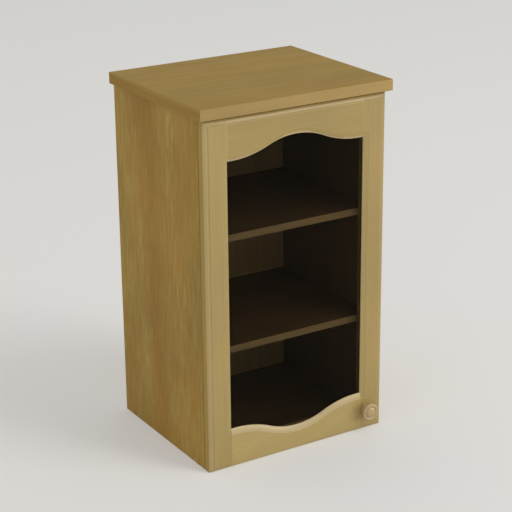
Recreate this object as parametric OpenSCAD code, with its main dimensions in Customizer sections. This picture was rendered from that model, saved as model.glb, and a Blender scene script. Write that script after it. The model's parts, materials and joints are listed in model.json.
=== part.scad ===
// Kitchen wall cabinet with a scalloped glass door
// Millimetres, +Z up. The wall is the plane y = 0 and the door faces -Y.
// x = 0 is the middle of the cabinet and z = 0 is its underside.

/* [Carcass] */
// Width over the sides and the door
cab_w = 400; // [340:10:600]
// Height of the carcass without the top board
cab_h = 696; // [640:4:900]
// Depth of the carcass without the door
cab_d = 323; // [240:1:420]
// Thickness of the sides, top and bottom
panel_t = 18; // [16:1:20]
// Thickness of the back panel
back_t = 3; // [3:0.5:5]
// Distance from the wall to the back panel
back_set = 7; // [5:1:12]
// Depth of the grooves that hold the back panel
groove_d = 6; // [4:1:8]

/* [Hanging rail] */
// Height of the hanging rail
rail_h = 60; // [50:1:80]
// Thickness of the hanging rail
rail_t = 18; // [16:1:22]
// Diameter of the wall screw holes
wall_hole_d = 6; // [5:0.5:8]
// Distance between the wall screw holes
wall_hole_gap = 260; // [120:10:280]

/* [Top board] */
// Thickness of the top board
board_t = 22; // [16:1:30]
// Overhang past each side
board_side = 9.5; // [0:0.5:25]
// Overhang past the front of the door
board_front = 7.5; // [0:0.5:25]
// Radius of the rounded front edges
board_round = 2; // [1:0.5:5]

/* [Shelves] */
// Thickness of both shelves
shelf_t = 14; // [12:1:18]
// Height of the upper face of the lower shelf
low_shelf_z = 242; // [200:1:300]
// Height of the upper face of the upper shelf
high_shelf_z = 465; // [400:1:480]
// Gap between a shelf and each side
shelf_gap = 0.5; // [0.3:0.1:2]
// Distance of the shelf front behind the carcass front
shelf_set = 1; // [0:0.5:20]

/* [Door] */
// Thickness of the door frame
door_t = 19; // [18:0.5:22]
// Gap between the carcass and the closed door
door_gap = 3; // [3:0.5:4]
// Gap between the door and the top board
door_top_gap = 4; // [2:0.5:8]
// Width of the stiles
stile_w = 50; // [49:1:70]
// Width of the rails beside the stiles
rail_w = 80; // [70:1:110]
// Rise of the scallop in the middle of a rail
scallop_rise = 30; // [15:1:32]
// Straight length of rail edge beside each stile
scallop_flat = 9; // [4:1:30]
// Radius of the middle arc of the scallop
crown_r = 150; // [120:1:170]
// Width of the moulding round the outer edge
edge_w = 10; // [6:0.5:11]
// Drop of the moulding round the outer edge
edge_drop = 3.5; // [2:0.25:4]
// Small step where that moulding starts
edge_step = 1; // [0.5:0.25:1.5]
// Width of the moulding round the glass
bead_w = 11; // [8:0.5:12]
// Drop of the moulding round the glass
bead_drop = 3.4; // [2:0.2:3.6]
// Small step where that moulding starts
bead_step = 0.6; // [0.4:0.1:1]

/* [Glass] */
// Thickness of the glass
glass_t = 4; // [3:0.5:6]
// Depth from the door front to the glass
glass_set = 5.5; // [5.5:0.25:7]
// Width of the rebate behind the lip
rebate_w = 8; // [7:0.5:8]
// Gap between the glass and the edge of the rebate
glass_gap = 1; // [0.5:0.25:2]
// Radius of the rounded edge of the glazing strips
strip_round = 3; // [1:0.5:4]

/* [Knob] */
// Diameter of the knob
knob_d = 36; // [28:1:40]
// Distance from the door front to the rim of the knob
knob_out = 21; // [20:0.5:26]
// Distance from the knob axis to the free edge of the door
knob_in = 38; // [25:1:38]
// Height of the knob axis above the lower edge of the door
knob_up = 43; // [30:1:60]

/* [Hinges] */
// Height of the lower hinge above the lower edge of the door
hinge_low = 100; // [80:1:160]
// Distance of the upper hinge below the upper edge of the door
hinge_high = 100; // [80:1:160]
// Diameter of the hinge cup
cup_d = 35; // [34:0.5:35]
// Depth of the hinge cup in the door
cup_depth = 12; // [11.5:0.25:12.5]
// Distance from the door edge to the middle of the cup
cup_in = 21; // [20.5:0.25:21.5]
// Distance from the carcass front to the plate screws
plate_back = 37; // [34:1:60]

/* [Fittings] */
// Diameter of the dowels
dowel_d = 8; // [6:1:8]
// Length of the dowels
dowel_l = 30; // [26:1:36]
// Diameter of the cam fittings
cam_d = 15; // [12:1:15]
// Distance from a side to the middle of a cam
cam_in = 24; // [20:1:34]
// Diameter of the shelf support pegs
peg_d = 5; // [4:0.5:6]

/* [Hidden] */
$fn = 96;
cut = 1;
fit = 0.05;
half_w = cab_w / 2;
in_w = half_w - panel_t;
door_back = cab_d + door_gap;
door_front = door_back + door_t;
door_h = cab_h - door_top_gap;
open_w = half_w - stile_w;
open_low = rail_w;
open_high = door_h - rail_w;

// Two tangent arcs make the scallop. The middle arc bends round a point inside the opening.
arc_end = open_w - scallop_flat;
arc_sum = (arc_end * arc_end + scallop_rise * scallop_rise) / (2 * scallop_rise);
side_r = arc_sum - crown_r;
crown_z = open_high + scallop_rise - crown_r;
side_z = open_high + side_r;

// Rebate, glass and the strips behind it
rebate_top = open_high + scallop_rise + rebate_w;
rebate_low = open_low - scallop_rise - rebate_w;
glass_y = door_front - glass_set;
glass_back = glass_y - glass_t;
strip_t = glass_back - door_back;
strip_w = rebate_w - 0.2;
tenon_t = 8;
tenon_l = 28;
tenon_y = door_back + 4;
tenon_margin = 6;

// Joinery of the carcass
dowel_side = 11;
dowel_set = 60;
dowel_y = [dowel_set, cab_d - dowel_set];
cam_set = 92;
cam_y = [cam_set, cab_d - cam_set];
cam_h = 12.5;
cam_low = 0.3;
cam_slot_l = 7;
cam_slot_w = 1.2;
cam_slot_h = 2;
bolt_r = 3;
bolt_hole_r = 4;
bolt_shank_r = 2;
bolt_head_h = 3;
bolt_head_room = 0.4;
collar_r = 3.6;
collar_t = 1.2;
joint_z = [panel_t / 2, cab_h - panel_t / 2];
rail_z = cab_h - panel_t - rail_h;
rail_dowel_set = 15;
rail_dowel_z = [rail_z + rail_dowel_set, rail_z + rail_h - rail_dowel_set];
groove_y = back_set + back_t;
board_screw_r = 2;
board_screw_grip = 13;
board_screw_x = in_w - 42;
board_screw_set = 45;
board_screw_y = [board_screw_set, cab_d - board_screw_set];
screw_room = 0.1;

// Shelf supports
peg_set = 40;
peg_y = [groove_y + peg_set, cab_d - peg_set];
peg_in = 8;
ledge_l = 9;
ledge_w = 10;
ledge_t = 2;
peg_disc_r = 6;
peg_disc_t = 1.5;
shelf_z = [low_shelf_z - shelf_t, high_shelf_z - shelf_t];

// Knob, its screw and the door buffers
knob_x = half_w - knob_in;
knob_screw_d = 4;
knob_screw_grip = 12;
buffer_d = 9;
buffer_t = door_gap - 0.2;
buffer_set = 26;
buffer_z = [buffer_set, door_h - buffer_set];

// Hinges, seen from above. The origin is the edge of the door at its back face, with +Y into the cabinet.
hinge_z = [hinge_low, door_h - hinge_high];
outer_arm = [29.2, 1.4];
outer_knee = [15.7, -7.8];
outer_cup = [9.2, -5.8];
inner_arm = [33.1, -5.55];
inner_knee = [22, -3.4];
inner_eye = [13.7, -2.9];
inner_cup = [12.6, -2.75];
pin_r = 1;
pin_fit = 0.06;
eye_r = 2.25;
eye_wall = 0.85;
link_w = 1.8;
cheek_in = 4;
cheek_t = 1.4;
inner_half = 3.6;
post_half = 1.5;
post_r = 2;
fork_gap = 0.25;
lug_in = 5.8;
lug_out = 7.2;
cup_r = cup_d / 2 - 0.05;
cup_wall = 0.9;
flange_t = 1.2;
flange_half = 31;
cup_screw_x = cup_in + 9.5;
cup_screw_z = 22.5;
cup_screw_r = 1.6;
cup_screw_l = 12;
plate_screw_z = 16;
plate_screw_r = 1.75;
plate_screw_l = 13;
plate_t = 2.5;
plate_w = 12;
plate_end = 7;
plate_y = door_gap + plate_back;
block_front = 14;
block_l = 40;
block_w = 10;
block_t = 6;
arm_nose = [25.5, 12];
arm_front = 11;
arm_room = 2.5;
arm_t = 1.5;
arm_screw_r = 1.5;
arm_screw_l = 8.5;
arm_screw_set = 14;
web_l = 4.2;
web_t = 0.9;

wood = [0.66, 0.5, 0.3];
dark_wood = [0.5, 0.35, 0.2];
board_wood = [0.58, 0.43, 0.24];
steel = [0.75, 0.75, 0.76];
zinc = [0.62, 0.63, 0.65];
tint = [0.35, 0.3, 0.22, 0.5];
pad = [0.85, 0.85, 0.82];

// Which piece to draw

// Shared tools

// Both sides of the cabinet
module both_sides() {
    children();
    mirror([1, 0, 0]) children();
}

// A cylinder along +X from a point
module rod_x(x, y, z, r, l) {
    translate([x, y, z]) rotate([0, 90, 0]) cylinder(r = r, h = l);
}

// A cylinder along +Y from a point
module rod_y(x, y, z, r, l) {
    translate([x, y, z]) rotate([-90, 0, 0]) cylinder(r = r, h = l);
}

// A pan head screw along Z. The head starts at z = 0 and the shank runs down.
module pan_screw(r, l, head_r, head_h) {
    difference() {
        union() {
            translate([0, 0, -l]) cylinder(r = r, h = l);
            cylinder(r = head_r, h = head_h);
        }
        for (a = [0, 90])
            rotate([0, 0, a])
            translate([-head_r * 0.6, -0.35, head_h * 0.45]) cube([head_r * 1.2, 0.7, head_h]);
    }
}

// Moulding cutter: x runs from the edge into the wood and y from the face into the thickness
module moulding(w, drop, step) {
    r = (w * w + drop * drop) / (2 * drop);
    difference() {
        translate([-cut, -cut]) square([w + cut, 2 * cut + step + drop]);
        translate([w, step + r]) circle(r = r);
    }
}

module edge_moulding() {
    moulding(edge_w, edge_drop, edge_step);
}

module bead_moulding() {
    moulding(bead_w, bead_drop, bead_step);
}

// A flat bar with round ends between two points
module bar(a, b, w) {
    d = b - a;
    translate(a) circle(r = w);
    translate(b) circle(r = w);
    translate(a) rotate(atan2(d[1], d[0])) translate([0, -w]) square([norm(d), 2 * w]);
}

// Carcass

module side_panel() {
    difference() {
        translate([in_w, -cab_d, 0]) cube([panel_t, cab_d, cab_h]);
        translate([in_w - cut, -groove_y - fit, panel_t - groove_d])
            cube([groove_d + cut + fit, back_t + 2 * fit, rail_z + groove_d - panel_t + groove_d + cut]);
        for (z = joint_z) {
            for (y = dowel_y)
                rod_x(in_w - cut, -y, z, dowel_d / 2 + fit, dowel_side + cut + fit);
            for (y = cam_y)
                rod_x(in_w - cut, -y, z, bolt_r + fit, dowel_side + cut + fit);
        }
        for (z = rail_dowel_z)
            rod_x(in_w - cut, -rail_t / 2, z, dowel_d / 2 + fit, dowel_side + cut + fit);
        for (z = shelf_z)
            for (y = peg_y)
                rod_x(in_w - cut, -y, z - peg_d / 2, peg_d / 2 + fit, peg_in + cut + fit);
    }
}

module right_side() {
    color(wood) side_panel();
}

// The left side also takes the screws of the hinge plates
module left_side() {
    color(wood) difference() {
        mirror([1, 0, 0]) side_panel();
        for (z = hinge_z)
            for (s = [-1, 1])
                rod_x(-in_w - plate_screw_l + plate_t - fit, -door_back + plate_y, z + s * plate_screw_z,
                    plate_screw_r + fit, plate_screw_l);
    }
}

// Top and bottom share the holes for dowels, bolts and cams. The cams open downwards here.
module panel_holes() {
    both_sides() {
        for (y = dowel_y)
            rod_x(in_w - dowel_l + dowel_side - fit, -y, 0, dowel_d / 2 + fit, dowel_l);
        for (y = cam_y) {
            rod_x(in_w - cam_in, -y, 0, bolt_hole_r, cam_in + cut);
            translate([in_w - cam_in, -y, -panel_t / 2 - cut])
                cylinder(r = cam_d / 2 + fit, h = cam_h + cut);
        }
    }
}

module bottom_panel() {
    color(wood) difference() {
        translate([-in_w, -cab_d, 0]) cube([2 * in_w, cab_d, panel_t]);
        translate([0, 0, panel_t / 2]) panel_holes();
        translate([-in_w - cut, -groove_y - fit, panel_t - groove_d - fit])
            cube([2 * in_w + 2 * cut, back_t + 2 * fit, groove_d + cut]);
    }
}

module top_panel() {
    color(wood) difference() {
        translate([-in_w, -cab_d, cab_h - panel_t]) cube([2 * in_w, cab_d, panel_t]);
        translate([0, 0, cab_h - panel_t / 2]) mirror([0, 0, 1]) panel_holes();
        both_sides()
            for (y = board_screw_y)
                translate([board_screw_x, -y, cab_h - panel_t - cut])
                cylinder(r = board_screw_r + screw_room, h = panel_t + 2 * cut);
    }
}

module back_panel() {
    w = in_w + groove_d;
    color(dark_wood) translate([-w, -groove_y, panel_t - groove_d])
        cube([2 * w, back_t, rail_z - panel_t + 2 * groove_d - fit]);
}

// The wall screws go through this rail
module hanging_rail() {
    color(wood) difference() {
        translate([-in_w, -rail_t, rail_z]) cube([2 * in_w, rail_t, rail_h]);
        translate([-in_w - cut, -groove_y - fit, rail_z - cut])
            cube([2 * in_w + 2 * cut, back_t + 2 * fit, groove_d + cut]);
        both_sides() {
            for (z = rail_dowel_z)
                rod_x(in_w - dowel_l + dowel_side - fit, -rail_t / 2, z, dowel_d / 2 + fit, dowel_l);
            rod_y(wall_hole_gap / 2, -rail_t - cut, rail_z + rail_h / 2, wall_hole_d / 2, rail_t + 2 * cut);
        }
    }
}

module dowel_end(y, z) {
    both_sides() rod_x(in_w - dowel_l + dowel_side, -y, z, dowel_d / 2, dowel_l);
}

module panel_dowels() {
    color(wood)
        for (z = joint_z)
            for (y = dowel_y)
                dowel_end(y, z);
}

module rail_dowels() {
    color(wood)
        for (z = rail_dowel_z)
            dowel_end(rail_t / 2, z);
}

// One connecting bolt at the right side: thread, collar, shank and head
module cam_bolt() {
    rod_x(in_w, 0, 0, bolt_r, dowel_side);
    rod_x(in_w - collar_t, 0, 0, collar_r, collar_t);
    rod_x(in_w - cam_in, 0, 0, bolt_shank_r, cam_in);
    rod_x(in_w - cam_in - bolt_head_h / 2, 0, 0, bolt_r, bolt_head_h);
}

module cam_bolts() {
    color(steel)
        for (z = joint_z)
            for (y = cam_y)
                translate([0, -y, z]) both_sides() cam_bolt();
}

// One cam at the right side of the bottom panel, with its slot for a driver below
module cam() {
    difference() {
        translate([in_w - cam_in, 0, -panel_t / 2 + cam_low]) cylinder(r = cam_d / 2, h = cam_h - cam_low);
        rod_x(in_w - cam_in - bolt_head_h, 0, 0, bolt_r + bolt_head_room, cam_in);
        for (a = [0, 90])
            translate([in_w - cam_in, 0, -panel_t / 2]) rotate([0, 0, a])
            translate([-cam_slot_l / 2, -cam_slot_w / 2, 0]) cube([cam_slot_l, cam_slot_w, cam_slot_h]);
    }
}

module cam_housings() {
    color(zinc)
        for (y = cam_y) {
            translate([0, -y, panel_t / 2]) both_sides() cam();
            translate([0, -y, cab_h - panel_t / 2]) mirror([0, 0, 1]) both_sides() cam();
        }
}

// Top board

module top_board() {
    d = door_front + board_front;
    color(board_wood) difference() {
        translate([-half_w - board_side, 0, cab_h]) rotate([90, 0, 90])
            linear_extrude(height = cab_w + 2 * board_side) union() {
                translate([board_round - d, 0]) square([d - board_round, board_t]);
                translate([-d, board_round]) square([board_round, board_t - 2 * board_round]);
                translate([board_round - d, board_round]) circle(r = board_round);
                translate([board_round - d, board_t - board_round]) circle(r = board_round);
            }
        both_sides()
            for (y = board_screw_y)
                translate([board_screw_x, -y, cab_h - cut])
                cylinder(r = board_screw_r + fit, h = cut + board_screw_grip + 1);
    }
}

module board_screws() {
    color(steel) both_sides()
        for (y = board_screw_y)
            translate([board_screw_x, -y, cab_h - panel_t]) mirror([0, 0, 1])
            pan_screw(board_screw_r, panel_t + board_screw_grip, 2 * board_screw_r, 2.2);
}

// Shelves

module shelf(top) {
    w = in_w - shelf_gap;
    color(wood) translate([-w, -cab_d + shelf_set, top - shelf_t])
        cube([2 * w, cab_d - shelf_set - groove_y - shelf_gap, shelf_t]);
}

module lower_shelf() {
    shelf(low_shelf_z);
}

module upper_shelf() {
    shelf(high_shelf_z);
}

// Four supports with round pegs in the sides and flat ledges under the shelf
module shelf_pegs(z) {
    color(steel) both_sides()
        for (y = peg_y) {
            rod_x(in_w - peg_disc_t, -y, z - peg_d / 2, peg_d / 2, peg_in + peg_disc_t);
            rod_x(in_w - peg_disc_t, -y, z - peg_disc_r, peg_disc_r, peg_disc_t);
            translate([in_w - ledge_l, -y - ledge_w / 2, z - ledge_t]) cube([ledge_l, ledge_w, ledge_t]);
        }
}

module lower_shelf_pegs() {
    shelf_pegs(shelf_z[0]);
}

module upper_shelf_pegs() {
    shelf_pegs(shelf_z[1]);
}

// Door frame

module knob_screw_hole() {
    rod_y(knob_x, -door_front - cut, knob_up, knob_screw_d / 2 + fit, door_t + 2 * cut);
}

// The outer moulding along the upper edge of the door
module top_edge_cut() {
    translate([-half_w - cut, -door_front, door_h]) rotate([0, 90, 0])
        linear_extrude(height = cab_w + 2 * cut) edge_moulding();
}

// The moulding round the glass on the right stile, limited by the mouldings of both rails, which mitres it
module stile_bead() {
    depth = bead_step + bead_drop + 2 * cut;
    intersection() {
        translate([open_w, -door_front, 0]) linear_extrude(height = door_h) bead_moulding();
        translate([half_w, -door_front, 0]) rotate([0, -90, 0])
            linear_extrude(height = stile_w + 2 * cut) union() {
                translate([open_high, 0]) bead_moulding();
                translate([open_low, 0]) mirror([1, 0]) bead_moulding();
                translate([open_low, -cut]) square([open_high - open_low, depth]);
            }
    }
}

// What both ends of a stile have: the outer moulding and the mortise
module stile_top_cut() {
    top_edge_cut();
    translate([open_w - cut, -tenon_y - tenon_t - fit, rebate_top + tenon_margin - fit])
        cube([tenon_l + cut + 0.5, tenon_t + 2 * fit, door_h - rebate_top - 2 * tenon_margin + 2 * fit]);
}

module stile() {
    difference() {
        translate([open_w, -door_front, 0]) cube([stile_w, door_t, door_h]);
        translate([half_w, -door_front, -cut]) mirror([1, 0, 0])
            linear_extrude(height = door_h + 2 * cut) edge_moulding();
        stile_bead();
        stile_top_cut();
        translate([0, 0, door_h]) mirror([0, 0, 1]) stile_top_cut();
        translate([open_w - cut, -glass_y, rebate_low])
            cube([rebate_w + cut, door_t, rebate_top - rebate_low]);
    }
}

// The hinge stile also takes the cups and their screws
module left_stile() {
    color(wood) difference() {
        mirror([1, 0, 0]) stile();
        for (z = hinge_z) {
            rod_y(cup_in - half_w, -door_back - cup_depth - 0.1, z, cup_r + fit, cup_depth + cut);
            for (s = [-1, 1])
                rod_y(cup_screw_x - half_w, -door_back - cup_screw_l, z + s * cup_screw_z,
                    cup_screw_r + fit, cup_screw_l + cut);
        }
    }
}

module right_stile() {
    color(wood) difference() {
        stile();
        knob_screw_hole();
    }
}

// What leaves the rail along the scallop: the moulding, and all of the lip on the side of the opening
module lip_shape() {
    bead_moulding();
    translate([-scallop_rise - cut, -cut]) square([scallop_rise + cut, glass_set + 2 * cut]);
}

// Wedge between the centres of the arcs, where the side arcs end
module crown_wedge() {
    x = 1.2 * arc_end;
    z = 1.2 * (side_z - crown_z);
    translate([0, -door_front - 2 * cut, crown_z]) rotate([-90, 0, 0])
        linear_extrude(height = glass_set + 4 * cut) polygon([[0, 0], [-x, -z], [x, -z]]);
}

// The lip is cut along the middle arc, the two side arcs and the short straight ends. The middle ring is
// whole, because beyond the wedge the side rings cut at least as deep.
module scallop_cut() {
    translate([0, -door_front, crown_z]) rotate([-90, 0, 0])
        rotate_extrude() translate([crown_r, 0]) lip_shape();
    both_sides() difference() {
        intersection() {
            translate([0, -door_front - 2 * cut, open_high - scallop_rise])
                cube([arc_end, glass_set + 4 * cut, side_r]);
            translate([arc_end, -door_front, side_z]) rotate([-90, 0, 0])
                rotate_extrude() translate([side_r, 0]) mirror([1, 0]) lip_shape();
        }
        crown_wedge();
    }
    both_sides() translate([open_w + cut, -door_front, open_high]) rotate([0, -90, 0])
        linear_extrude(height = scallop_flat + cut) lip_shape();
}

module rail() {
    difference() {
        union() {
            translate([-open_w, -door_front, open_high]) cube([2 * open_w, door_t, rail_w]);
            translate([-open_w - tenon_l, -tenon_y - tenon_t, rebate_top + tenon_margin])
                cube([2 * open_w + 2 * tenon_l, tenon_t, door_h - rebate_top - 2 * tenon_margin]);
        }
        top_edge_cut();
        scallop_cut();
        translate([-open_w - cut, -glass_y, open_high - cut])
            cube([2 * open_w + 2 * cut, door_t, rebate_top - open_high + cut]);
    }
}

module top_rail() {
    color(wood) rail();
}

// The knob screw passes the tenon of the bottom rail, or goes through it where they meet
module bottom_rail() {
    color(wood) difference() {
        translate([0, 0, door_h]) mirror([0, 0, 1]) rail();
        knob_screw_hole();
    }
}

// Glass and the strips that hold it

module glass_pane() {
    w = open_w + rebate_w - glass_gap;
    color(tint) translate([-w, -glass_y, rebate_low + glass_gap])
        cube([2 * w, glass_t, rebate_top - rebate_low - 2 * glass_gap]);
}

// Cross-section of a strip: x runs from the glass side of the opening, y from the glass to the door back
module strip_shape() {
    translate([strip_round, 0]) square([strip_w - strip_round, strip_t]);
    square([strip_round, strip_t - strip_round]);
    translate([strip_round, strip_t - strip_round]) circle(r = strip_round);
}

module right_strip() {
    color(wood) translate([open_w, -glass_back, rebate_low + rebate_w])
        linear_extrude(height = rebate_top - rebate_low - 2 * rebate_w) strip_shape();
}

module left_strip() {
    mirror([1, 0, 0]) right_strip();
}

module top_strip() {
    w = open_w + strip_w;
    color(wood) translate([w, -glass_back, rebate_top - rebate_w]) rotate([0, -90, 0])
        linear_extrude(height = 2 * w) strip_shape();
}

module bottom_strip() {
    translate([0, 0, door_h]) mirror([0, 0, 1]) top_strip();
}

// Knob

// Turned outline: x is the radius and y the distance from the door front
module knob_shape() {
    rim = 4.5;
    top = knob_out - rim;
    r = knob_d / 2;
    dome_w = r - 7.5;
    dome_h = 2.2;
    dome_r = (dome_w * dome_w + dome_h * dome_h) / (2 * dome_h);
    square([r / 2, 3]);
    polygon([[0, 3], [r / 2 - 1, 3], [r / 2 - 2.5, top - 7], [r / 2 + 1, top - 3], [0, top - 3]]);
    difference() {
        union() {
            translate([0, top - rim]) square([r - rim, 2 * rim]);
            translate([r - rim, top]) circle(r = rim);
        }
        translate([r - 6.2, top + rim + 0.2]) circle(r = 1);
    }
    intersection() {
        translate([0, knob_out + dome_h - dome_r]) circle(r = dome_r);
        translate([0, top]) square([dome_w, rim + dome_h]);
    }
}

module knob() {
    color(wood) translate([knob_x, -door_front, knob_up]) rotate([90, 0, 0]) difference() {
        rotate_extrude() intersection() {
            knob_shape();
            square([knob_d, 2 * knob_out]);
        }
        translate([0, 0, -cut]) cylinder(r = knob_screw_d / 2 + fit, h = cut + knob_screw_grip + 1);
    }
}

module knob_screw() {
    color(steel) translate([knob_x, -door_back, knob_up]) rotate([-90, 0, 0])
        pan_screw(knob_screw_d / 2, door_t + knob_screw_grip, 3.8, 2.2);
}

module door_buffers() {
    color(pad)
        for (z = buffer_z)
            rod_y(half_w - panel_t / 2, -door_back, z, buffer_d / 2, buffer_t);
}

// Hinges

// Moves a hinge piece from its own origin to a height at the left edge of the door
module at_hinge(z) {
    translate([-half_w, -door_back, z]) children();
}

// A plan shape made into a plate between two heights
module plate(low, high) {
    translate([0, 0, low]) linear_extrude(height = high - low) children();
}

// A pin along Z at a plan point
module pin(p, r, low, high) {
    translate([p[0], p[1], low]) cylinder(r = r, h = high - low);
}

// Cup with its flange. Two lugs at its wall hold the outer pins and a post on its floor holds the inner pin.
module hinge_cup() {
    cave = cup_r - cup_wall;
    color(steel) difference() {
        union() {
            difference() {
                union() {
                    rod_y(cup_in, -cup_depth, 0, cup_r, cup_depth + flange_t);
                    rod_y(cup_in, 0, 0, cup_r + 1.2, flange_t);
                    translate([cup_in, 0, -flange_half]) cube([cup_r, flange_t, 2 * flange_half]);
                }
                rod_y(cup_in, cup_wall - cup_depth, 0, cave, cup_depth + flange_t);
                translate([0, -0.6, -9]) cube([9, flange_t + cut, 18]);
            }
            intersection() {
                rod_y(cup_in, -cup_depth + 0.1, 0, cup_r - 0.1, cup_depth - 0.5);
                for (s = [0, 1])
                    mirror([0, 0, s]) translate([6, -cup_depth, lug_in + 0.2]) cube([7, cup_depth - 3, cup_r]);
            }
            plate(-post_half, post_half) bar(inner_cup, [inner_cup[0], post_r + 0.2 - cup_depth], post_r);
        }
        pin(outer_cup, pin_r + fit / 2, -11.1, 11.1);
        pin(inner_cup, pin_r + fit / 2, -inner_half, inner_half);
        for (s = [-1, 1])
            rod_y(cup_screw_x, -cut, s * cup_screw_z, cup_screw_r + 2 * screw_room, flange_t + 2 * cut);
    }
}

// Wing plate screwed to the side panel
module hinge_plate() {
    color(zinc) difference() {
        union() {
            translate([panel_t, plate_y - plate_w / 2, -plate_screw_z - plate_end])
                cube([plate_t, plate_w, 2 * plate_screw_z + 2 * plate_end]);
            translate([panel_t, plate_y - block_front, -block_w / 2]) cube([block_t, block_l, block_w]);
        }
        for (s = [-1, 1])
            rod_x(panel_t - cut, plate_y, s * plate_screw_z, plate_screw_r + fit, plate_t + 2 * cut);
        rod_x(panel_t - cut, plate_y + arm_screw_set, 0, arm_screw_r + fit, block_t + 2 * cut);
    }
}

// Channel over the plate with two lugs that carry the links
module hinge_arm() {
    web_x = panel_t + block_t + arm_room;
    length = plate_y - block_front + block_l - arm_front;
    color(steel) difference() {
        union() {
            for (s = [0, 1])
                mirror([0, 0, s]) plate(lug_in, lug_out) {
                    bar(outer_arm, inner_arm, 2.2);
                    bar(outer_arm, arm_nose, 2.5);
                    translate([panel_t + plate_t + 0.1, arm_front])
                        square([web_x + arm_t - panel_t - plate_t - 0.1, length]);
                }
            translate([web_x, arm_front, -lug_out]) cube([arm_t, length, 2 * lug_out]);
        }
        pin(outer_arm, pin_r + fit / 2, -cup_d, cup_d);
        pin(inner_arm, pin_r + fit / 2, -cup_d, cup_d);
        rod_x(web_x - cut, plate_y + arm_screw_set, 0, arm_screw_r + screw_room, arm_t + 2 * cut);
    }
}

// Two cranked cheeks joined by a web near the arm
module outer_link() {
    d = outer_arm - outer_knee;
    color(steel) difference() {
        union() {
            for (s = [0, 1])
                mirror([0, 0, s]) plate(cheek_in, cheek_in + cheek_t) {
                    bar(outer_cup, outer_knee, link_w);
                    bar(outer_knee, outer_arm, link_w + 0.5);
                }
            plate(-cheek_in - cheek_t, cheek_in + cheek_t)
                translate(outer_knee) rotate(atan2(d[1], d[0]))
                translate([norm(d) - web_l - 0.4, 1.4]) square([web_l, web_t]);
        }
        pin(outer_arm, pin_r + pin_fit, -cup_d, cup_d);
        pin(outer_cup, pin_r + pin_fit, -cup_d, cup_d);
    }
}

// Link between the cheeks. It ends in a fork over the post, and the eye of the fork is wide,
// because the links turn at fixed ratios.
module inner_link() {
    color(steel) difference() {
        plate(-inner_half, inner_half) {
            bar(inner_arm, inner_knee, link_w);
            bar(inner_knee, inner_eye, link_w);
            translate(inner_eye) circle(r = eye_r + eye_wall);
        }
        pin(inner_arm, pin_r + pin_fit, -cup_d, cup_d);
        pin(inner_eye, eye_r, -cup_d, cup_d);
        pin(inner_eye, 2 * link_w + 0.3, -post_half - fork_gap, post_half + fork_gap);
    }
}

module lower_hinge_cup() {
    at_hinge(hinge_z[0]) hinge_cup();
}

module upper_hinge_cup() {
    at_hinge(hinge_z[1]) hinge_cup();
}

module lower_hinge_arm() {
    at_hinge(hinge_z[0]) hinge_arm();
}

module upper_hinge_arm() {
    at_hinge(hinge_z[1]) hinge_arm();
}

module lower_hinge_plate() {
    at_hinge(hinge_z[0]) hinge_plate();
}

module upper_hinge_plate() {
    at_hinge(hinge_z[1]) hinge_plate();
}

module lower_outer_link() {
    at_hinge(hinge_z[0]) outer_link();
}

module upper_outer_link() {
    at_hinge(hinge_z[1]) outer_link();
}

module lower_inner_link() {
    at_hinge(hinge_z[0]) inner_link();
}

module upper_inner_link() {
    at_hinge(hinge_z[1]) inner_link();
}

module arm_pins() {
    color(zinc)
        for (z = hinge_z)
            at_hinge(z) {
                pin(outer_arm, pin_r, -lug_out, lug_out);
                pin(inner_arm, pin_r, -lug_out, lug_out);
            }
}

// The outer pins are short and the inner pin ends at its fork, so that the links pass each other
module cup_pins() {
    color(zinc)
        for (z = hinge_z)
            at_hinge(z) {
                pin(outer_cup, pin_r, cheek_in, 11);
                pin(outer_cup, pin_r, -11, -cheek_in);
                pin(inner_cup, pin_r, -inner_half, inner_half);
            }
}

module cup_screws() {
    color(steel)
        for (z = hinge_z)
            for (s = [-1, 1])
                at_hinge(z) translate([cup_screw_x, flange_t, s * cup_screw_z]) rotate([-90, 0, 0])
                    pan_screw(cup_screw_r, cup_screw_l, 2 * cup_screw_r, 1.4);
}

module plate_screws() {
    color(steel)
        for (z = hinge_z)
            for (s = [-1, 1])
                at_hinge(z) translate([panel_t + plate_t, plate_y, s * plate_screw_z]) rotate([0, 90, 0])
                    pan_screw(plate_screw_r, plate_screw_l, 3.4, 1.6);
}

module arm_screws() {
    color(steel)
        for (z = hinge_z)
            at_hinge(z) translate([panel_t + block_t + arm_room + arm_t, plate_y + arm_screw_set, 0])
                rotate([0, 90, 0]) pan_screw(arm_screw_r, arm_screw_l, 3.2, 1.6);
}

// Drawing

left_side();
right_side();
bottom_panel();
top_panel();
back_panel();
hanging_rail();
top_board();
board_screws();
lower_shelf();
upper_shelf();
lower_shelf_pegs();
upper_shelf_pegs();
panel_dowels();
rail_dowels();
cam_bolts();
cam_housings();
left_stile();
right_stile();
top_rail();
bottom_rail();
glass_pane();
left_strip();
right_strip();
top_strip();
bottom_strip();
knob();
knob_screw();
door_buffers();
lower_hinge_cup();
upper_hinge_cup();
lower_hinge_arm();
upper_hinge_arm();
lower_hinge_plate();
upper_hinge_plate();
lower_outer_link();
upper_outer_link();
lower_inner_link();
upper_inner_link();
arm_pins();
cup_pins();
cup_screws();
plate_screws();
arm_screws();
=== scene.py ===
# Kitchen wall cabinet with a scalloped glass door: finishes, light and camera.
# Metres, +Z up, the wall behind the cabinet is the plane y = 0.
import json
import math

import bpy
from mathutils import Matrix, Vector


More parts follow.
